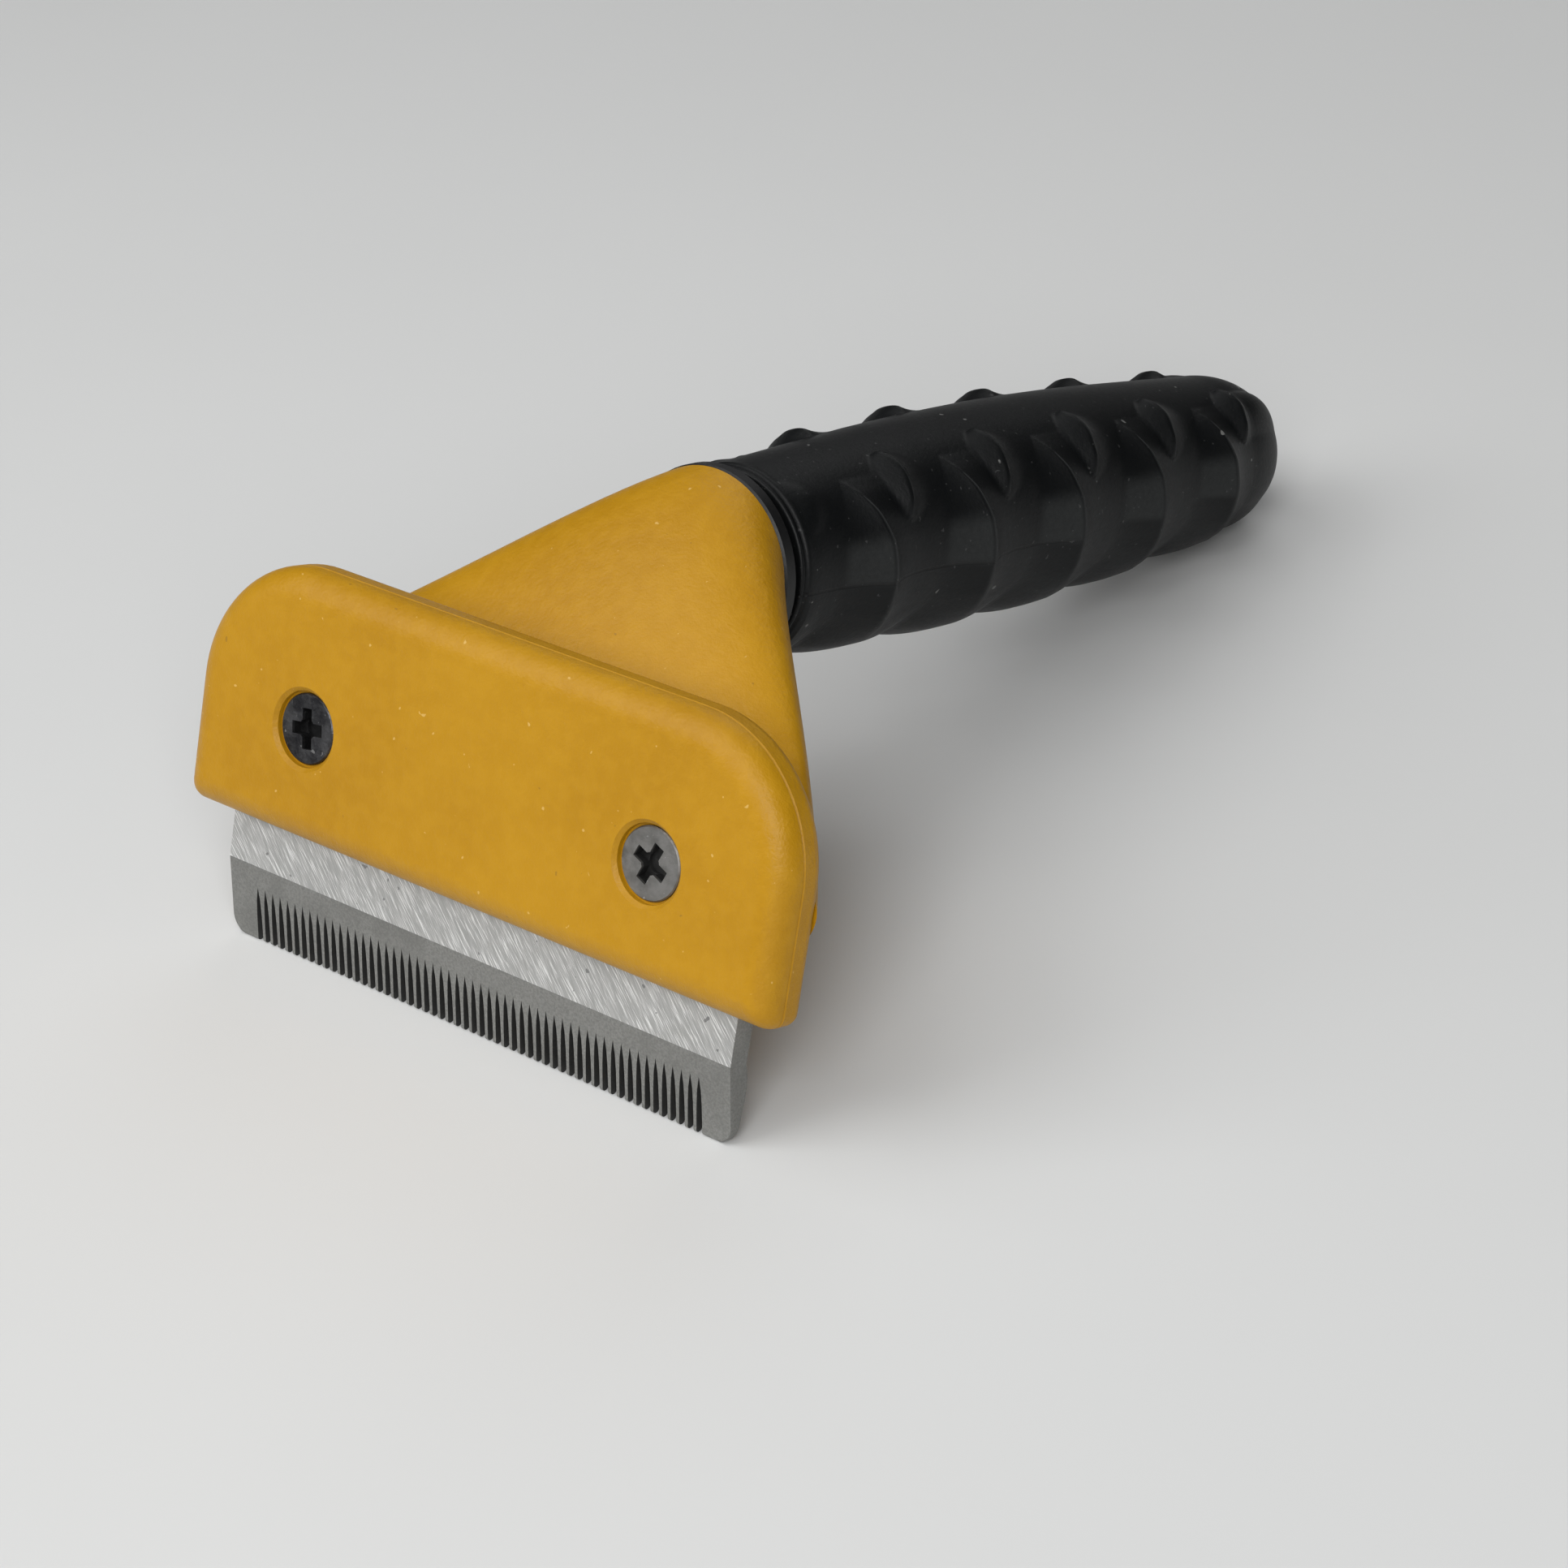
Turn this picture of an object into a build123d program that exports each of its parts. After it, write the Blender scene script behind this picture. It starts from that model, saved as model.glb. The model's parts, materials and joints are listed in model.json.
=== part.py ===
"""Deshedding tool: a rake-shaped hand tool with a fine-toothed steel comb blade.

The tool rests on a table on its tooth tips and on the underside of its butt end.
Row frame: +X along the blade edge, +Y from the blade towards the butt, +Z up.
The head is drawn in the face frame (x along the blade, y up the plate, depth behind the
plate's front) and the handle in the handle frame (z along the handle from the collar).
"""
import os
from math import cos, radians, sin

from build123d import *

# ---------------------------------------------------------------- stance
lean = 20.5                # lean of the face plate back from upright
handle_rise = 4.4          # handle axis above the plate's normal
face_y = -98.67            # lower front edge of the face plate in the row frame
face_z = 21.72

# ---------------------------------------------------------------- face plate
head_width = 117.2
plate_height = 41.0
plate_thickness = 4.5
shoulder_radius = 21.0     # upper corners of the head outline
heel_radius = 2.3          # lower corners
roll_radius = 4.6          # soft roll from the flat front to the sides and top
parting_chamfer = 0.25     # makes the fine groove between plate and body

# ---------------------------------------------------------------- comb blade
blade_width = 101.6
blade_thickness = 3.6
blade_top = 30.0
strip_bottom = -7.7        # end of the ground strip, where the toothed face starts
tip_level = -20.2
tip_corner = 3.0
slot_count = 56
slot_pitch = 1.634
slot_top = -11.2
slot_width = 1.08
blade_hole = 3.3

# ---------------------------------------------------------------- fasteners
screw_x = 34.3
screw_level = 17.6
screw_radius = 3.0
head_radius = 5.4
head_sink = 0.9            # head top below the plate's front
head_rim = 0.5
head_cone = 2.3
screw_length = 12.4
recess_radius = 5.85
recess_depth = 1.4
recess_edge = 0.6
cross_span = 6.2
cross_slot = 1.9
cross_depth = 1.8
cross_heart = 1.65         # round middle of the drive
cross_turn_left = 8.0
cross_turn_right = -24.0
insert_radius = 4.3
insert_length = 5.0
insert_groove = 0.5
insert_start = 8.6         # depth of the insert's front end

# ---------------------------------------------------------------- head body
rim_depth = 9.0            # back of the rim that follows the plate's outline
rim_rounding = 2.2
neck_foot = 1.5            # lowest point of the neck where it leaves the rim
neck_stations = 7
boss_radius = 6.2          # bosses round the inserts, behind the rim
boss_end = 14.6
collar_depth = 46.0
collar_level = 47.6
collar_radius = 15.6
socket_radius = 7.0
socket_depth = 11.0

# ---------------------------------------------------------------- handle
mouth = 5.2                # gap between the collar and the rubber sleeve
butt = 142.8
lip_radius = 15.1
lip_width = 1.5
core_radius = 12.0
core_end_radius = 10.4
core_end = 130.0
flange_radius = 15.8
flange_width = 2.4
waist_radius = 13.2

# ---------------------------------------------------------------- grip fins
fin_pitch = 23.65
first_fin = 19.2           # upper tip of the first large fin
fin_radii = [15.2, 16.3, 16.6, 16.1, 14.8]     # barrel radius at each large fin
fin_direction = 122.0      # low point of a large fin, turned from the top of the handle
fin_shift = 2.6            # how far its disc is moved that way
fin_sweep = 0.36           # how much it trails towards the butt that way
fin_front_slope = 0.2
fin_back_slope = 0.14
small_direction = 43.5     # small fins between the large ones
small_radius = 7.5
small_height = 2.2
small_lag = 11.5
small_front = 3.6
small_back = 10.5

up = Vector(0, sin(radians(lean)), cos(radians(lean)))
inward = Vector(0, cos(radians(lean)), -sin(radians(lean)))
sideways = Vector(1, 0, 0)
face_origin = Vector(0, face_y, face_z)
face = Plane(origin=face_origin, x_dir=sideways, z_dir=inward * -1)
side = Plane(origin=face_origin, x_dir=inward, z_dir=sideways)

descent = radians(lean - handle_rise)
along = Vector(0, cos(descent), -sin(descent))
above = Vector(0, sin(descent), cos(descent))
collar_centre = face_origin + up * collar_level + inward * collar_depth
handle = Plane(origin=collar_centre, x_dir=sideways, z_dir=along * -1)
handle_side = Plane(origin=collar_centre, x_dir=along, z_dir=sideways)
handle_axis = Axis(collar_centre, along)


# Outline shared by plate and body: straight below, round shoulders.
with BuildSketch() as head_outline:
    Rectangle(head_width, plate_height, align=(Align.CENTER, Align.MIN))
    fillet(head_outline.vertices().sort_by(Axis.Y)[:2], heel_radius)
    fillet(head_outline.vertices().sort_by(Axis.Y)[-2:], shoulder_radius)


def neck_section(near):
    """Points of the neck's section, from the collar at near 0 to the rim at near 1."""
    half_width = collar_radius + 35.0 * near + 23.6 * near**2 - 16.2 * near**3
    top = collar_radius - 13.1 * near - 34.4 * near**2 + 2.6 * near**3 + 7.7 * near**7
    bottom = -collar_radius - (collar_level - collar_radius - neck_foot) * near**1.22
    middle = -29.5 * near**1.05
    points = []
    for turn in range(0, 360, 15):
        across, rise = cos(radians(turn)), sin(radians(turn))
        power = 2 / (2 + near) if rise < 0 else 1
        height = top - middle if rise >= 0 else middle - bottom
        x = half_width * abs(across) ** power * (1 if across > 0 else -1)
        y = middle + height * abs(rise) ** power * (1 if rise > 0 else -1)
        points.append((x, y))
    return points


os.makedirs("parts", exist_ok=True)

# ================================================================ face plate
with BuildPart() as face_plate:
    with BuildSketch(face.offset(-roll_radius - 0.2)):
        add(head_outline.sketch)
    extrude(amount=roll_radius + 0.2)
    front = face_plate.faces().sort_by(Axis(face_origin, inward))[0]
    roll_edges = front.edges().sort_by(Axis(face_origin, up))[1:]
    fillet(roll_edges, roll_radius)
    with BuildSketch(face.offset(-plate_thickness)):
        Rectangle(2 * head_width, 4 * plate_height)
    extrude(amount=-2 * plate_thickness, mode=Mode.SUBTRACT)
    back = face_plate.faces().sort_by(Axis(face_origin, inward))[-1]
    chamfer(back.edges(), parting_chamfer)
    with BuildSketch(face):
        with Locations((-screw_x, screw_level), (screw_x, screw_level)):
            Circle(recess_radius)
    extrude(amount=-recess_depth, mode=Mode.SUBTRACT)
    for x in (-screw_x, screw_x):
        screw_axis = Axis(face_origin + sideways * x + up * screw_level, inward)
        with BuildSketch(Plane(origin=screw_axis.position, x_dir=inward, z_dir=sideways)):
            Polygon(
                (0, 0),
                (0, recess_radius + recess_edge),
                (recess_edge, recess_radius),
                (recess_depth, recess_radius),
                (recess_depth, head_radius + 0.1),
                (recess_depth + head_cone, blade_hole),
                (plate_thickness + 1, blade_hole),
                (plate_thickness + 1, 0),
                align=None,
            )
        revolve(axis=screw_axis, mode=Mode.SUBTRACT)
face_plate.part.label = "face_plate"
export_step(face_plate.part, "parts/face_plate.step")

# ================================================================ comb blade
with BuildPart() as comb_blade:
    front_depth = plate_thickness
    rear_depth = plate_thickness + blade_thickness
    with BuildSketch(side.offset(-blade_width / 2)):
        with BuildLine():
            Polyline(
                (rear_depth, -8.0),
                (rear_depth, blade_top),
                (front_depth, blade_top),
                (front_depth, strip_bottom),
                (7.25, -19.5),
            )
            ThreePointArc((7.25, -19.5), (7.9, tip_level), (8.5, -19.5))
            Spline((8.5, -19.5), (8.75, -16.0), (9.0, -11.5), (rear_depth, -8.0))
        make_face()
    extrude(amount=blade_width)
    with BuildSketch(face):
        for x in (-1, 1):
            corner = blade_width / 2 * x
            with BuildLine():
                Line((corner, tip_level - 1), (corner, tip_level + tip_corner))
                ThreePointArc(
                    (corner, tip_level + tip_corner),
                    (corner - x * tip_corner * 0.293, tip_level + tip_corner * 0.293),
                    (corner - x * tip_corner, tip_level),
                )
                Line((corner - x * tip_corner, tip_level), (corner - x * tip_corner, tip_level - 1))
                Line((corner - x * tip_corner, tip_level - 1), (corner, tip_level - 1))
            make_face()
    extrude(amount=-20, mode=Mode.SUBTRACT)
    with BuildSketch(face):
        with GridLocations(slot_pitch, 1, slot_count, 1):
            Polygon(
                (0, slot_top),
                (0.34 * slot_width, slot_top - 2.2),
                (0.46 * slot_width, slot_top - 4.6),
                (0.50 * slot_width, slot_top - 7.0),
                (0.50 * slot_width, tip_level - 1),
                (-0.50 * slot_width, tip_level - 1),
                (-0.50 * slot_width, slot_top - 7.0),
                (-0.46 * slot_width, slot_top - 4.6),
                (-0.34 * slot_width, slot_top - 2.2),
                align=None,
            )
    extrude(amount=-20, mode=Mode.SUBTRACT)
    with BuildSketch(face):
        with Locations((-screw_x, screw_level), (screw_x, screw_level)):
            Circle(blade_hole)
    extrude(amount=-20, mode=Mode.SUBTRACT)
comb_blade.part.label = "comb_blade"
export_step(comb_blade.part, "parts/comb_blade.step")

# ================================================================ head body
with BuildPart() as head_body:
    with BuildSketch(face.offset(-plate_thickness)):
        add(head_outline.sketch)
    extrude(amount=plate_thickness - rim_depth)
    front = head_body.faces().sort_by(Axis(face_origin, inward))[0]
    chamfer(front.edges(), parting_chamfer)
    back = head_body.faces().sort_by(Axis(face_origin, inward))[-1]
    back_edges = back.edges().sort_by(Axis(face_origin, up))
    fillet(back_edges[1:], rim_rounding)
    # neck, from just inside the rim to the collar
    for station in range(neck_stations):
        near = 1 - station / (neck_stations - 1)
        tilt = radians(handle_rise * (1 - near))
        depth = rim_depth - 0.5 + (collar_depth - rim_depth + 0.5) * (1 - near)
        facing = inward * -cos(tilt) - up * sin(tilt)
        level = face_origin + inward * depth + up * collar_level
        with BuildSketch(Plane(origin=level, x_dir=sideways, z_dir=facing)):
            with BuildLine():
                Spline(*neck_section(near), periodic=True)
            make_face()
    loft()
    # bosses round the inserts
    with BuildSketch(face.offset(-plate_thickness - 0.5)):
        with Locations((-screw_x, screw_level), (screw_x, screw_level)):
            Circle(boss_radius)
    extrude(amount=plate_thickness + 0.5 - boss_end)
    # pocket that holds the blade, open below
    with BuildSketch(face.offset(-plate_thickness)):
        Rectangle(blade_width + 0.4, 2 * (blade_top + 0.2))
    extrude(amount=-blade_thickness, mode=Mode.SUBTRACT)
    # bores for the threaded inserts
    with BuildSketch(face):
        with Locations((-screw_x, screw_level), (screw_x, screw_level)):
            Circle(insert_radius)
    extrude(amount=-(insert_start + insert_length), mode=Mode.SUBTRACT)
    # socket for the handle's spigot
    with BuildSketch(handle):
        Circle(socket_radius)
    extrude(amount=socket_depth, mode=Mode.SUBTRACT)
head_body.part.label = "head_body"
export_step(head_body.part, "parts/head_body.step")

# ================================================================ screws
for label, x, turn in (
    ("screw_left", -screw_x, cross_turn_left),
    ("screw_right", screw_x, cross_turn_right),
):
    centre = face_origin + sideways * x + up * screw_level
    shoulder_depth = head_sink + head_rim
    with BuildPart() as screw:
        with BuildSketch(Plane(origin=centre, x_dir=inward, z_dir=sideways)):
            Polygon(
                (head_sink, 0),
                (head_sink, head_radius - 0.2),
                (head_sink + 0.2, head_radius),
                (shoulder_depth, head_radius),
                (shoulder_depth + head_cone, screw_radius),
                (head_sink + screw_length - 0.6, screw_radius),
                (head_sink + screw_length, screw_radius - 0.6),
                (head_sink + screw_length, 0),
                align=None,
            )
        revolve(axis=Axis(centre, inward))
        # cross recess: two slots and a round heart
        reach = sideways * cos(radians(turn)) + up * sin(radians(turn))
        drive = Plane(origin=centre + inward * head_sink, x_dir=reach, z_dir=inward * -1)
        for width, height in ((cross_span, cross_slot), (cross_slot, cross_span)):
            with BuildSketch(drive):
                Rectangle(width, height)
            extrude(amount=-cross_depth, mode=Mode.SUBTRACT)
        with BuildSketch(drive):
            Circle(cross_heart)
        extrude(amount=-cross_depth - 0.6, mode=Mode.SUBTRACT)
    screw.part.label = label
    export_step(screw.part, f"parts/{label}.step")

# ================================================================ threaded inserts
for label, x in (("insert_left", -screw_x), ("insert_right", screw_x)):
    centre = face_origin + sideways * x + up * screw_level
    insert_end = insert_start + insert_length
    middle = insert_start + insert_length / 2
    with BuildPart() as insert:
        with BuildSketch(Plane(origin=centre, x_dir=inward, z_dir=sideways)):
            Polygon(
                (insert_start, screw_radius + 0.05),
                (insert_start, insert_radius),
                (middle - 1, insert_radius),
                (middle - 1, insert_radius - insert_groove),
                (middle + 1, insert_radius - insert_groove),
                (middle + 1, insert_radius),
                (insert_end, insert_radius),
                (insert_end, screw_radius + 0.05),
                align=None,
            )
        revolve(axis=Axis(centre, inward))
    insert.part.label = label
    export_step(insert.part, f"parts/{label}.step")

# ================================================================ handle core
with BuildPart() as handle_core:
    with BuildSketch(handle_side):
        Polygon(
            (-socket_depth + 0.3, 0),
            (-socket_depth + 0.3, socket_radius - 0.8),
            (-socket_depth + 1.1, socket_radius),
            (0, socket_radius),
            (0, flange_radius - 0.5),
            (0.5, flange_radius),
            (flange_width, flange_radius),
            (flange_width, waist_radius),
            (mouth, waist_radius),
            (mouth, core_radius),
            (core_end - 1, core_end_radius),
            (core_end, core_end_radius - 1),
            (core_end, 0),
            align=None,
        )
    revolve(axis=handle_axis)
handle_core.part.label = "handle_core"
export_step(handle_core.part, "parts/handle_core.step")

# ================================================================ grip sleeve
with BuildPart() as grip_sleeve:
    with BuildSketch(handle_side):
        with BuildLine():
            Polyline(
                (butt, 0),
                (mouth, 0),
                (mouth, lip_radius - 0.4),
                (mouth + 0.4, lip_radius),
                (mouth + lip_width, lip_radius),
                (mouth + lip_width + 0.6, 14.6),
            )
            Spline(
                (mouth + lip_width + 0.6, 14.6),
                (29.2, 15.95),
                (68.8, 16.6),
                (108.4, 15.25),
                (128.0, 13.8),
                (137.2, 12.3),
                (141.6, 8.6),
                (butt, 0),
                tangents=((1, 0.08), (0, -1)),
            )
        make_face()
    revolve(axis=handle_axis)
    for index, barrel in enumerate(fin_radii):
        tip = first_fin + index * fin_pitch
        for hand in (-1, 1):
            low = above * cos(radians(fin_direction)) + sideways * hand * sin(radians(fin_direction))
            trail = (low + along * fin_sweep).normalized()
            normal = (along - low * fin_sweep).normalized()
            stretch = (1 + fin_sweep**2) ** 0.5
            crest = barrel - 0.27
            reach = fin_shift + 0.5
            for run, slope in ((-1, fin_front_slope), (0, 0), (1, fin_back_slope)):
                shift = run * reach / slope if run else 0
                centre = collar_centre + along * (tip - 0.6 + shift + fin_sweep * fin_shift)
                radius = crest - abs(run) * reach
                with BuildSketch(Plane(centre + low * fin_shift, x_dir=trail, z_dir=normal)):
                    Ellipse(radius * stretch, radius)
            loft(ruled=True)
            toward = above * cos(radians(small_direction)) + sideways * hand * sin(
                radians(small_direction)
            )
            centre = collar_centre + toward * (barrel + small_height - small_radius)
            small_axis = Axis(centre + along * (tip + small_lag), along)
            with BuildSketch(Plane(small_axis.position, x_dir=along, z_dir=toward.cross(along))):
                Polygon(
                    (-small_front, 0),
                    (-small_front, small_radius - small_height - 0.2),
                    (0, small_radius),
                    (small_back, small_radius - small_height - 0.2),
                    (small_back, 0),
                    align=None,
                )
            revolve(axis=small_axis)
    # trim the fins to the mouth and to the round butt
    with BuildSketch(handle_side):
        with BuildLine():
            Polyline((butt, 0), (mouth, 0), (mouth, lip_radius), (mouth + 12, 20), (110, 20), (122, 16.8))
            Line((122, 16.8), (129, 14.8))
            Spline((129, 14.8), (137.2, 12.35), (141.6, 8.65), (butt, 0), tangents=((1, -0.286), (0, -1)))
        make_face()
    revolve(axis=handle_axis, mode=Mode.INTERSECT)
    with BuildSketch(handle_side):
        Polygon(
            (mouth, 0),
            (mouth, core_radius),
            (core_end - 1, core_end_radius),
            (core_end, core_end_radius - 1),
            (core_end, 0),
            align=None,
        )
    revolve(axis=handle_axis, mode=Mode.SUBTRACT)
grip_sleeve.part.label = "grip_sleeve"
export_step(grip_sleeve.part, "parts/grip_sleeve.step")
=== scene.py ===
"""Looks for a deshedding tool: amber head, steel comb blade and finned rubber grip."""
import json
import math

import bmesh
import bpy
from mathutils import Matrix, Vector


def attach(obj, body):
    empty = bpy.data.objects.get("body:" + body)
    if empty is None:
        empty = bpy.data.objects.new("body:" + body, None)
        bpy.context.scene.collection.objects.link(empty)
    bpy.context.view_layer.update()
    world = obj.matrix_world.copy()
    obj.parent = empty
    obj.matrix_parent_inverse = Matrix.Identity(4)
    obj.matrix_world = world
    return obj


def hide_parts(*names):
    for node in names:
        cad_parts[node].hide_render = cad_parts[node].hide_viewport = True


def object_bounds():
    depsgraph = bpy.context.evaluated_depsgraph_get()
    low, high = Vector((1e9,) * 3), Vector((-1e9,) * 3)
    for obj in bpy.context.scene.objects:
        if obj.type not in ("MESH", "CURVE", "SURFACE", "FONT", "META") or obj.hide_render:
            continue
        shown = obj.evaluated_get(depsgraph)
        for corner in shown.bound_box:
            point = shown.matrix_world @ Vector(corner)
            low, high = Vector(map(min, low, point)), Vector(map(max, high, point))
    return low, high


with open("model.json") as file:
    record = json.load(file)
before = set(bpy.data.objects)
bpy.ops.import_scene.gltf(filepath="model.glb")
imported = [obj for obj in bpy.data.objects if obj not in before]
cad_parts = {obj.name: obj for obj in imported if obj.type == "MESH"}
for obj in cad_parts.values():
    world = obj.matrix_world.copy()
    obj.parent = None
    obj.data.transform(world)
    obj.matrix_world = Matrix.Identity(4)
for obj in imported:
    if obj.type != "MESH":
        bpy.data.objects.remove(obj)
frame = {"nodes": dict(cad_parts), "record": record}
cad_low, cad_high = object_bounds()
nodes = frame["nodes"]
MM = 0.001


# ------------------------------------------------------------------ frames of the tool
mount = frame["record"]["mounts"][0]
sideways = Vector((1, 0, 0))
inward = -Vector(mount["axis"]).normalized()
up = sideways.cross(inward)
mount_height = 30.0        # of the mount above the plate's lower edge
face_origin = Vector(mount["pos_m"]) - up * (mount_height * MM)
rise = math.radians(4.4)   # of the handle above the plate's normal
along = inward * math.cos(rise) + up * math.sin(rise)
above = up * math.cos(rise) - inward * math.sin(rise)
collar_level = 47.6
collar_depth = 46.0
collar = face_origin + (up * collar_level + inward * collar_depth) * MM


def local_matrix(origin, x, y, z):
    """Millimetres along x, y and z from origin, as row-frame metres."""
    m = Matrix((x, y, z)).transposed().to_4x4()
    m.translation = origin
    return m @ Matrix.Scale(MM, 4)


handle_frame = local_matrix(collar, sideways, along, above)


# ------------------------------------------------------------------ shader maths
class Sock:
    """A socket or number that adds Math nodes when it is used in an expression."""

    def __init__(self, mat, value):
        self.mat = mat
        self.value = value

    def _op(self, kind, a, b=None):
        node = self.mat.nodes.new("ShaderNodeMath")
        node.operation = kind
        for slot, item in zip(node.inputs, (a, b)):
            if item is None:
                continue
            if isinstance(item, Sock):
                self.mat.links.new(item.value, slot)
            else:
                slot.default_value = item
        return Sock(self.mat, node.outputs[0])

    def __add__(self, other):
        return self._op("ADD", self, other)

    __radd__ = __add__

    def __sub__(self, other):
        return self._op("SUBTRACT", self, other)

    def __rsub__(self, other):
        return self._op("SUBTRACT", other, self)

    def __mul__(self, other):
        return self._op("MULTIPLY", self, other)

    __rmul__ = __mul__

    def __abs__(self):
        return self._op("ABSOLUTE", self)

    def above(self, other):
        return self._op("GREATER_THAN", self, other)

    def ramp(self, low, high):
        """0 at low and 1 at high, with soft ends."""
        settings = {"interpolation_type": "SMOOTHSTEP"}
        return self.mat.num("MapRange", settings, {0: self, 1: low, 2: high})


class Mat:
    """A material whose nodes are made by calls, with its Principled shader ready to set."""

    def __init__(self, name):
        self.material = bpy.data.materials.new(name)
        self.material.use_nodes = True
        tree = self.material.node_tree
        self.nodes = tree.nodes
        self.links = tree.links
        self.shader = self.nodes["Principled BSDF"]
        coordinates = self.nodes.new("ShaderNodeTexCoord")
        self.place = coordinates.outputs["Object"]
        self.facing = coordinates.outputs["Normal"]

    def make(self, kind, settings, sockets, output=0):
        """One output of a new node, after its settings and its sockets are filled in."""
        node = self.nodes.new("ShaderNode" + kind)
        for key, value in settings.items():
            setattr(node, key, value)
        for key, value in sockets.items():
            if isinstance(value, Sock):
                value = value.value
            if isinstance(value, bpy.types.NodeSocket):
                self.links.new(value, node.inputs[key])
            else:
                node.inputs[key].default_value = value
        return node.outputs[output]

    def num(self, kind, settings, sockets, output=0):
        """The same as make, ready for use in an expression."""
        return Sock(self, self.make(kind, settings, sockets, output))

    def noise(self, scale, detail=2.0, rough=0.5, vector=None):
        vector = vector or self.place
        sockets = {"Vector": vector, "Scale": scale, "Detail": detail, "Roughness": rough}
        return self.num("TexNoise", {}, sockets)

    def across(self, origin, direction):
        """Millimetres from origin along direction."""
        offset = self.make("VectorMath", {"operation": "SUBTRACT"}, {0: self.place, 1: origin})
        sockets = {0: offset, 1: direction / MM}
        return self.num("VectorMath", {"operation": "DOT_PRODUCT"}, sockets, "Value")

    def streaks(self, width, level, slant, crowd, stretch):
        """Noise drawn out into lines that fall to the right at slant degrees."""
        c, s = math.cos(math.radians(slant)), math.sin(math.radians(slant))
        over = (width * s + level * c) * crowd
        down = (width * c - level * s) * stretch
        vector = self.make("CombineXYZ", {}, {0: over, 1: down, 2: slant})
        return self.noise(1, 3, 0.6, vector)

    def mix(self, factor, a, b):
        """Colour a at factor 0 and colour b at factor 1."""
        a, b = ((*c, 1) if isinstance(c, tuple) else c for c in (a, b))
        return self.make("Mix", {"data_type": "RGBA"}, {0: factor, 6: a, 7: b}, 2)

    def bump(self, height, strength, distance):
        return self.make("Bump", {}, {"Height": height, "Strength": strength, "Distance": distance})

    def set(self, **sockets):
        """Fill in the Principled shader's sockets and return the material."""
        for key, value in sockets.items():
            key = key.replace("_", " ")
            if isinstance(value, Sock):
                value = value.value
            if isinstance(value, bpy.types.NodeSocket):
                self.links.new(value, self.shader.inputs[key])
            elif isinstance(value, tuple):
                self.shader.inputs[key].default_value = (*value, 1)
            else:
                self.shader.inputs[key].default_value = value
        return self.material


# ------------------------------------------------------------------ finishes
amber_shade = (0.425, 0.208, 0.004)
amber_light = (0.475, 0.240, 0.006)
amber_grain = (0.54, 0.285, 0.014)
seam_drop = 1.1            # mould line of the grip below its axis
strip_bottom = -7.72       # end of the blade's ground strip, from the plate's lower edge
strip_depth = 4.62         # the strip faces the front, ahead of this depth
comb_edge = (45.4, 46.0)   # the slots end here on each side of the middle
recess_shade_depth = (1.05, 1.5)  # depth at which painted shade starts in a screw's cross recess


def amber_plastic():
    """Moulded nylon: fine spark-eroded grain, faint cloudiness and a few pale specks."""
    m = Mat("amber_plastic")
    grain = m.noise(1700, 3, 0.6)
    swirl = m.noise(420, 2, 0.5)
    cloud = m.noise(38, 3, 0.5)
    speck = m.noise(800, 1, 0.5).ramp(0.765, 0.80)
    soil = m.noise(620, 1, 0.5).ramp(0.785, 0.81)
    colour = m.mix(cloud.ramp(0.3, 0.7), amber_shade, amber_light)
    colour = m.mix(swirl.ramp(0.35, 0.7) * 0.25, colour, amber_grain)
    colour = m.mix(speck * 0.4, colour, (0.85, 0.60, 0.22))
    colour = m.mix(soil * 0.45, colour, (0.20, 0.10, 0.02))
    return m.set(
        Base_Color=colour,
        Roughness=0.34 + grain * 0.14,
        Specular_IOR_Level=0.26,
        Normal=m.bump(grain + swirl * 0.8, 0.42, 0.00028),
    )


def grip_rubber():
    """Soft black rubber with lint on it, a thin mould line low on each side, and painted highlights
    on the fins' ridges and front faces.
    """
    m = Mat("grip_rubber")
    grain = m.noise(1400, 3, 0.6)
    haze = m.noise(55, 4, 0.6)
    lint = m.noise(420, 1, 0.5).ramp(0.765, 0.79)
    dust = m.noise(1100, 1, 0.5).ramp(0.72, 0.77)
    height = m.across(collar, above)
    run = m.across(collar, along)
    seam = 1 - abs(height + seam_drop + m.noise(180, 2, 0.5) * 0.5).ramp(0.10, 0.32)
    seam = seam * (1 - run.ramp(58, 84))
    colour = m.mix(haze.ramp(0.3, 0.75), (0.0014, 0.0019, 0.0022), (0.0030, 0.0036, 0.0040))
    colour = m.mix(seam * 0.8, colour, (0.002, 0.002, 0.002))
    painted_crest_highlight = m.num("Attribute", {"attribute_name": "painted_crest_highlight"}, {}, "Fac")
    painted_fin_highlight = m.num("Attribute", {"attribute_name": "painted_fin_highlight"}, {}, "Fac")
    # painted highlight: the lower front faces of the large fins are made paler where light falls on
    # them
    colour = m.mix(painted_fin_highlight * (0.35 + 0.65 * grain) * 0.8, colour, (0.030, 0.032, 0.032))
    # painted highlight: the ridges of the fins are made paler, as if catching light
    colour = m.mix(painted_crest_highlight.ramp(0.45, 1.0) * 0.6, colour, (0.050, 0.052, 0.052))
    colour = m.mix(dust * 0.35, colour, (0.09, 0.09, 0.09))
    colour = m.mix(lint * 0.55, colour, (0.26, 0.26, 0.25))
    return m.set(
        Base_Color=colour,
        Roughness=0.43 + grain * 0.12 + painted_fin_highlight * 0.1,
        Specular_IOR_Level=0.26,
        Normal=m.bump(grain * 0.6 - seam, 0.35, 0.00025),
    )


def core_plastic():
    """Matt black nylon of the handle's core."""
    m = Mat("core_plastic")
    grain = m.noise(1200, 2, 0.5)
    return m.set(
        Base_Color=m.mix(grain, (0.0015, 0.0015, 0.0018), (0.003, 0.003, 0.0034)),
        Roughness=0.42 + grain * 0.15,
        Normal=m.bump(grain, 0.15, 0.0002),
    )


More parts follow.
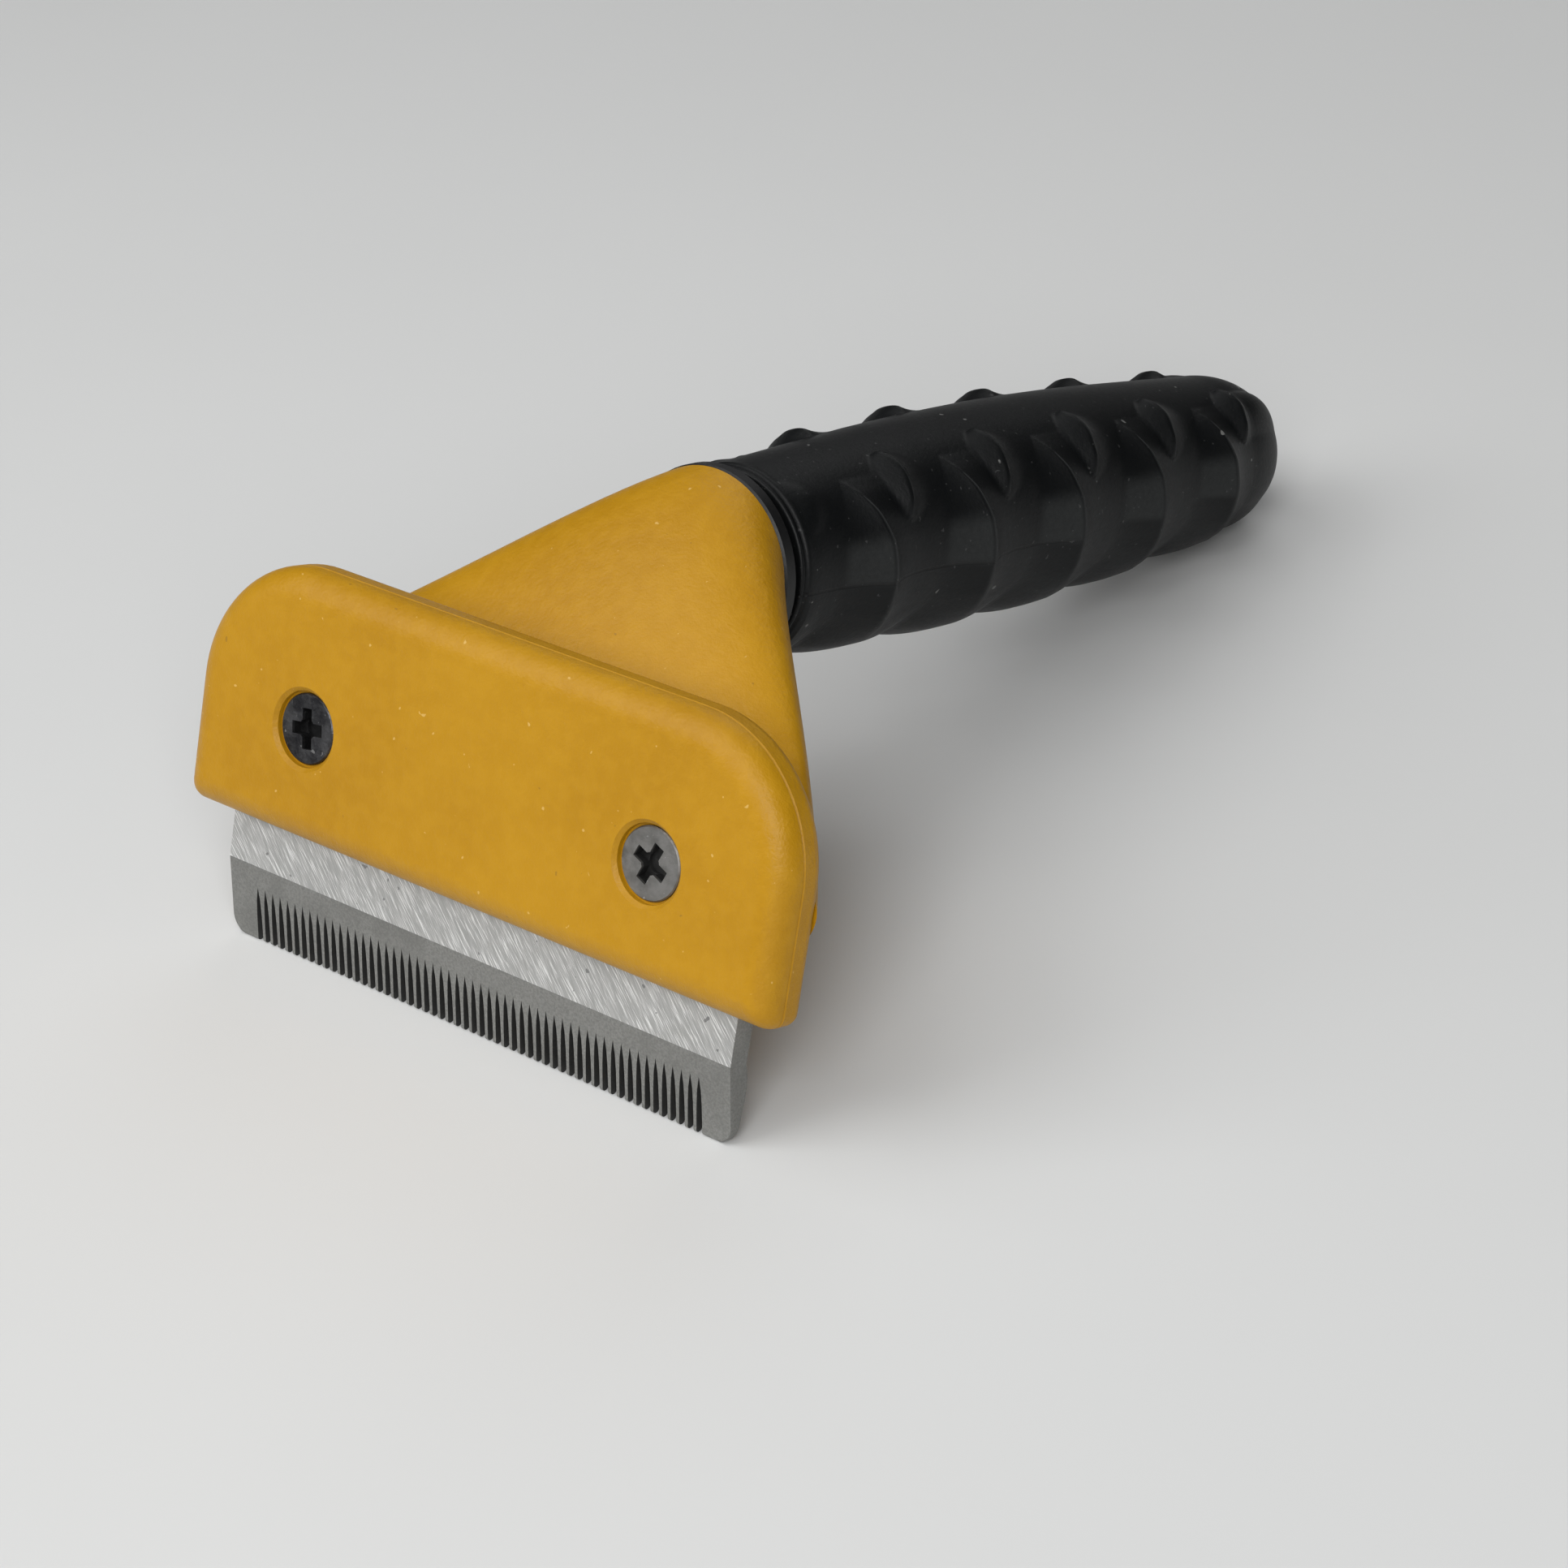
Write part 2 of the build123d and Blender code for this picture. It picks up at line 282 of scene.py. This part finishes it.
def blade_steel():
    """Blasted grey steel with a bright ground strip, full of slanting scratches, and painted shade
    on the walls of its slots.
    """
    m = Mat("blade_steel")
    level = m.across(face_origin, up)
    depth = m.across(face_origin, inward)
    width = m.across(face_origin, sideways)
    grain = m.noise(2600, 2, 0.7)
    ground = level.above(strip_bottom) * (strip_depth - depth).above(0)
    # scratches run down to the right at a steep slant, in three slightly different directions
    fine = m.streaks(width, level, 50, 7.0, 0.22)
    broad = m.streaks(width, level, 56, 2.2, 0.12)
    long = m.streaks(width, level, 44, 5.0, 0.18)
    cut = fine * 0.45 + broad * 0.35 + long.ramp(0.50, 0.68) * 0.35
    # painted shade: the walls of the slots are made almost black, as if in shadow
    facing = m.num("SeparateXYZ", {}, {0: m.facing}, "X")
    painted_slot_shade = abs(facing).ramp(0.6, 0.9) * (1 - abs(width).ramp(*comb_edge))
    pit = m.noise(700, 1, 0.5).ramp(0.735, 0.76)
    dull = m.mix(grain.ramp(0.3, 0.7), (0.21, 0.21, 0.20), (0.29, 0.29, 0.275))
    stain = m.noise(90, 3, 0.6)
    dull = m.mix(stain.ramp(0.45, 0.7) * 0.4, dull, (0.16, 0.16, 0.15))
    # painted shade in the slots
    dull = m.mix(painted_slot_shade * 0.92, dull, (0.012, 0.012, 0.012))
    bright = m.mix(cut.ramp(0.32, 0.72), (0.40, 0.40, 0.39), (0.78, 0.78, 0.77))
    bright = m.mix(pit * 0.7, bright, (0.16, 0.16, 0.16))
    return m.set(
        Base_Color=m.mix(ground, dull, bright),
        # the painted shade in the slots is also less metallic
        Metallic=0.55 + ground * 0.05 - painted_slot_shade * 0.45,
        Roughness=0.52 + grain * 0.12 - ground * 0.10 + ground * cut * 0.12,
        Normal=m.bump(grain * (1 - ground) + ground * cut * 1.6 - pit, 0.30, 0.0002),
    )


def screw_steel(name, dark, light, sheen):
    """Dull machined steel of one screw, from its two tones and its roughness, with painted shade in
    its cross recess.
    """
    m = Mat(name)
    grain = m.noise(1700, 3, 0.6)
    smear = m.noise(380, 3, 0.6)
    pit = m.noise(1300, 1, 0.5).ramp(0.70, 0.76)
    colour = m.mix(smear.ramp(0.3, 0.7), dark, light)
    colour = m.mix(pit * 0.5, colour, (0.55, 0.55, 0.55))
    # painted shade: the cross recess is made near black below its edge
    painted_recess_shade = m.across(face_origin, inward).ramp(*recess_shade_depth)
    colour = m.mix(painted_recess_shade * 0.93, colour, (0.006, 0.006, 0.006))
    return m.set(
        Base_Color=colour,
        # the painted recess shade is also less metallic
        Metallic=0.85 - painted_recess_shade * 0.5,
        Roughness=sheen + grain * 0.2,
        Normal=m.bump(grain + smear, 0.4, 0.0002),
    )


def insert_brass():
    """Turned brass of the threaded inserts."""
    m = Mat("insert_brass")
    grain = m.noise(1500, 3, 0.6)
    return m.set(
        Base_Color=m.mix(grain, (0.55, 0.36, 0.12), (0.65, 0.45, 0.18)),
        Metallic=1.0,
        Roughness=0.3 + grain * 0.2,
    )


# ------------------------------------------------------------------ pieces
def piece(name, bm, matrix, material, stands_for):
    """A finished mesh from a bmesh in millimetres, riding on the tool in place of CAD nodes."""
    bmesh.ops.recalc_face_normals(bm, faces=bm.faces)
    bm.transform(matrix)
    mesh = bpy.data.meshes.new(name)
    bm.to_mesh(mesh)
    bm.free()
    for poly in mesh.polygons:
        poly.use_smooth = True
    obj = bpy.data.objects.new(name, mesh)
    bpy.context.scene.collection.objects.link(obj)
    obj.data.materials.append(material)
    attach(obj, "root")
    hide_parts(*stands_for)


def smooth(x, low, high):
    """0 below low and 1 above high, with soft ends."""
    s = min(max((x - low) / (high - low), 0.0), 1.0)
    return s * s * (3 - 2 * s)


def curve(x, points):
    """Straight runs between (x, value) points."""
    if x <= points[0][0]:
        return points[0][1]
    for (x0, y0), (x1, y1) in zip(points, points[1:]):
        if x <= x1:
            return y0 + (y1 - y0) * (x - x0) / (x1 - x0)
    return points[-1][1]


# the grip is in millimetres: t runs along the handle from the collar, and turn is in degrees
# from the top of the handle, the same on both sides
mouth = 5.2
lip_inner = 12.3
lip_bead = [
    (5.2, 14.3), (5.25, 14.55), (5.45, 14.75), (5.8, 14.8), (6.05, 14.62),
    (6.3, 14.58), (6.5, 14.9), (6.8, 15.12), (7.3, 15.16),
]
grip_start = 7.6           # end of the lip bead, where the fins may begin
barrel_profile = [
    (5.2, 15.0), (9.4, 15.2), (19, 15.65), (29.2, 16.15), (39, 16.6), (49, 16.85),
    (59, 16.95), (68.8, 16.95), (79, 16.75), (88.6, 16.4), (98.5, 15.9), (108.4, 15.25),
    (118, 14.6), (128.2, 13.9),
]
first_fin = 19.2
fin_pitch = 23.65
fin_count = 5
# where a large fin's front foot and its ridge lie past its upper tip, by turn
foot_run = [
    (20, -1.2), (36, -0.3), (49, -2.2), (60, -3.9), (70, -5.0), (90, -5.5), (110, -5.2),
    (132, -7.0), (180, -7.4),
]
ridge_run = [
    (20, 1.2), (36, 0.3), (49, 1.5), (60, 2.6), (73, 3.6), (90, 4.2), (110, 4.8),
    (132, 6.4), (150, 9.0), (180, 10.0),
]
ridge_height = [
    (34, 0), (40, 0.5), (46, 1.2), (57, 2.2), (73, 3.0), (90, 3.2), (112, 2.9),
    (130, 2.0), (150, 1.5), (180, 1.4),
]
belly_drop = [(60, 0), (100, -0.2), (150, -0.85), (180, -0.95)]
# the small leaf-shaped fin between two large ones: foot and ridge past the large fin's tip,
# then its ends by turn
leaf_foot = 8.0
leaf_ridge = 11.6
leaf_top = 21.5
leaf_bottom = 66.5
leaf_height = 2.35
leaf_fall = 9.0
butt_start = 128.2
butt_length = 14.4
butt_radius = 13.9
butt_rings = 18
around = 288               # points in each ring
weld = 0.004


def fin_lines(index, turn):
    """t of a large fin's foot and ridge, the small fin's foot and ridge, and the next foot."""
    tip = first_fin + index * fin_pitch
    foot = tip + curve(turn, foot_run)
    ridge = tip + curve(turn, ridge_run)
    following = foot + fin_pitch
    lower = smooth(turn, 62, 95)
    gap = following - ridge
    small_foot = tip + leaf_foot + lower * (ridge + 0.33 * gap - tip - leaf_foot)
    small_ridge = tip + leaf_ridge + lower * (ridge + 0.60 * gap - tip - leaf_ridge)
    return foot, ridge, small_foot, small_ridge, following


def leaf_shape(t, index, turn):
    """Height of the small fin: a steep face towards the head and a long fall behind it."""
    if not leaf_top < turn < leaf_bottom:
        return 0.0
    across = (turn - leaf_top) / (leaf_bottom - leaf_top)
    reach = math.sin(math.pi * across**0.8) ** 0.6
    tip = first_fin + index * fin_pitch
    foot = tip + leaf_ridge - (leaf_ridge - leaf_foot) * reach
    ridge = tip + leaf_ridge - 0.8 * abs(2 * across - 0.8)
    end = ridge + leaf_fall * reach
    if foot < t <= ridge:
        return leaf_height * reach * ((t - foot) / (ridge - foot)) ** 0.9
    if ridge < t < end:
        return leaf_height * reach * (1 - (t - ridge) / (end - ridge)) ** 1.9
    return 0.0


def fin_shape(t, index, turn):
    """Height of the rubber above the barrel."""
    foot, ridge, _, _, following = fin_lines(index, turn)
    rise_here = curve(turn, ridge_height)
    if t <= ridge:
        share = (t - foot) / (ridge - foot)
        crisp = rise_here * share**1.6
    else:
        share = (following - t) / (following - ridge)
        crisp = rise_here * share**3.2
    middle = (t - foot) / (following - foot)
    arched = rise_here * (1 - abs(2 * middle - 1) ** 2.5)
    belly = smooth(turn, 118, 146)
    large = crisp * (1 - belly) + arched * belly
    return large + curve(turn, belly_drop) + leaf_shape(t, index, turn)


def grip_stations():
    """(fin index, line before, line after, share between them) for each ring of the grip."""
    rows = []
    steps = ((0, 12), (1, 9), (2, 7), (3, 11))
    for index in range(-1, fin_count + 1):
        for line, count in steps:
            rows += [(index, line, k / count) for k in range(count)]
    return rows


def table_height(t):
    """Height of the table in the handle frame: the rubber is flattened where it rests there."""
    return ((cad_low.z - collar.z) / MM - along.z * t) / above.z


def make_grip():
    """The rubber sleeve, extruded ring by ring from the lip to the middle of the butt."""
    bm = bmesh.new()
    turn_layer = bm.verts.layers.float.new("turn")
    painted_crest_highlight_layer = bm.verts.layers.float.new("painted_crest_highlight")
    painted_fin_highlight_layer = bm.verts.layers.float.new("painted_fin_highlight")
    ring = bmesh.ops.create_circle(bm, segments=around, radius=1)["verts"]
    for v in ring:
        v[turn_layer] = math.atan2(v.co.x, v.co.y)

    def put(v, t, r):
        a = v[turn_layer]
        v.co = Vector((r * math.sin(a), t, max(r * math.cos(a), table_height(t))))

    def shape(verts, t_of, radius_of):
        for v in verts:
            turn = abs(math.degrees(v[turn_layer]))
            t = t_of(turn)
            put(v, t, radius_of(t, turn))

    def bead(t, r):
        shape(current, lambda turn: t, lambda t, turn: r + curve(turn, belly_drop) * 0.6)

    def extrude():
        made = bmesh.ops.extrude_edge_only(bm, edges=edges)["geom"]
        verts = [g for g in made if isinstance(g, bmesh.types.BMVert)]
        return verts, [g for g in made if isinstance(g, bmesh.types.BMEdge)]

    current = ring
    edges = list(bm.edges)
    bead(mouth, lip_inner)
    for t, r in lip_bead:
        current, edges = extrude()
        bead(t, r)
    for index, line, share in grip_stations():
        def t_of(turn):
            lines = fin_lines(index, turn)
            return lines[line] + share * (lines[line + 1] - lines[line])

        samples = [t_of(turn) for turn in range(0, 181, 10)]
        if max(samples) <= grip_start:
            continue
        if min(samples) >= butt_start:
            break

        def place(turn):
            return min(max(t_of(turn), grip_start), butt_start)

        def radius(t, turn):
            barrel = curve(t, barrel_profile)
            fade = smooth(t, 7, 12)
            return barrel + fade * fin_shape(min(t, fin_lines(index, turn)[4]), index, turn)

        current, edges = extrude()
        shape(current, place, radius)
        for v in current:
            turn = abs(math.degrees(v[turn_layer]))
            # painted highlight along the ridges of the large and small fins
            crest_highlight = 0.0
            if share == 0 and line == 1:
                crest_highlight = smooth(turn, 40, 52) * (1 - smooth(turn, 112, 135))
            elif share == 0 and line == 3:
                crest_highlight = 0.8 * smooth(turn, 24, 30) * (1 - smooth(turn, 52, 62))
            v[painted_crest_highlight_layer] = crest_highlight
            # painted highlight on the lower front faces of the large fins
            painted_fin_highlight = 0.0
            if line == 0:
                painted_fin_highlight = smooth(turn, 66, 78) * (1 - smooth(turn, 92, 97)) * smooth(share, 0.0, 0.25)
            v[painted_fin_highlight_layer] = painted_fin_highlight
    last = {round(v[turn_layer], 4): v.co.copy() for v in current}
    for v in current:
        v[painted_crest_highlight_layer] = v[painted_fin_highlight_layer] = 0.0
    for i in range(1, butt_rings + 1):
        angle = math.radians(90 * i / butt_rings)
        current, edges = extrude()
        for v in current:
            old = last[round(v[turn_layer], 4)]
            size = math.hypot(old.x, old.z)
            keep = max(math.cos(angle), 0) ** 0.5
            full = butt_radius + (size - butt_radius) * math.cos(angle)
            put(v, butt_start + butt_length * math.sin(angle), full * keep)
    bmesh.ops.remove_doubles(bm, verts=bm.verts, dist=weld)
    piece("rubber_grip", bm, handle_frame, grip_rubber(), ["grip_sleeve"])


amber = amber_plastic()
steel = blade_steel()
dark_screw = screw_steel("dark_screw", (0.03, 0.03, 0.034), (0.11, 0.11, 0.115), 0.22)
grey_screw = screw_steel("grey_screw", (0.17, 0.168, 0.16), (0.27, 0.265, 0.255), 0.40)
brass = insert_brass()
core = core_plastic()
finishes = {
    "face_plate": amber,
    "head_body": amber,
    "comb_blade": steel,
    "screw_left": dark_screw,
    "screw_right": grey_screw,
    "insert_left": brass,
    "insert_right": brass,
    "handle_core": core,
}
for name, material in finishes.items():
    nodes[name].data.materials.clear()
    nodes[name].data.materials.append(material)
make_grip()


# ------------------------------------------------------------------ floor, light and camera
def floor():
    """The white table under the tool."""
    m = Mat("table_top")
    tone = m.noise(6, 3, 0.5)
    grain = m.noise(900, 2, 0.5)
    material = m.set(
        Base_Color=m.mix(tone, (0.66, 0.665, 0.66), (0.70, 0.705, 0.70)),
        Roughness=0.7 + grain * 0.1,
        Specular_IOR_Level=0.3,
    )
    bm = bmesh.new()
    bmesh.ops.create_grid(bm, x_segments=1, y_segments=1, size=3)
    mesh = bpy.data.meshes.new("table_top")
    bm.to_mesh(mesh)
    bm.free()
    obj = bpy.data.objects.new("table_top", mesh)
    bpy.context.scene.collection.objects.link(obj)
    obj.data.materials.append(material)
    obj.location.z = cad_low.z


def softbox(name, place, size, power):
    """A square area light aimed at the tool."""
    light = bpy.data.lights.new(name, "AREA")
    light.shape = "SQUARE"
    light.size = size
    light.energy = power
    obj = bpy.data.objects.new(name, light)
    obj.location = place
    obj.rotation_euler = (-Vector(place)).to_track_quat("-Z", "Y").to_euler()
    bpy.context.scene.collection.objects.link(obj)


floor()
softbox("window", (0.8, -1.0, 0.9), 0.9, 14.5)
softbox("left_window", (-0.7, -0.9, 0.9), 0.9, 7.6)
softbox("back_fill", (-0.4, 0.9, 1.0), 0.9, 2.8)
softbox("overhead", (0.1, -0.5, 1.2), 0.9, 4.4)
softbox("lamp", (-0.5, -0.2, 0.9), 0.5, 1.4)
world = bpy.data.worlds.new("studio")
world.use_nodes = True
background = world.node_tree.nodes["Background"]
background.inputs["Color"].default_value = (0.95, 0.97, 1.0, 1)
background.inputs["Strength"].default_value = 0.03
bpy.context.scene.world = world
bpy.context.scene.view_settings.view_transform = "Standard"

camera = bpy.data.cameras.new("camera")
camera.lens = 94.11
camera.sensor_width = 36
holder = bpy.data.objects.new("camera", camera)
bpy.context.scene.collection.objects.link(holder)
eye = Vector((0.377463, -0.430584, 0.340757))
look = Vector((-0.58353018, 0.62516164, -0.51832948))
roll = Matrix.Rotation(math.radians(-5.6099), 4, "Z")
aim = look.to_track_quat("-Z", "Y").to_matrix().to_4x4()
holder.matrix_world = Matrix.Translation(eye) @ aim @ roll
bpy.context.scene.camera = holder
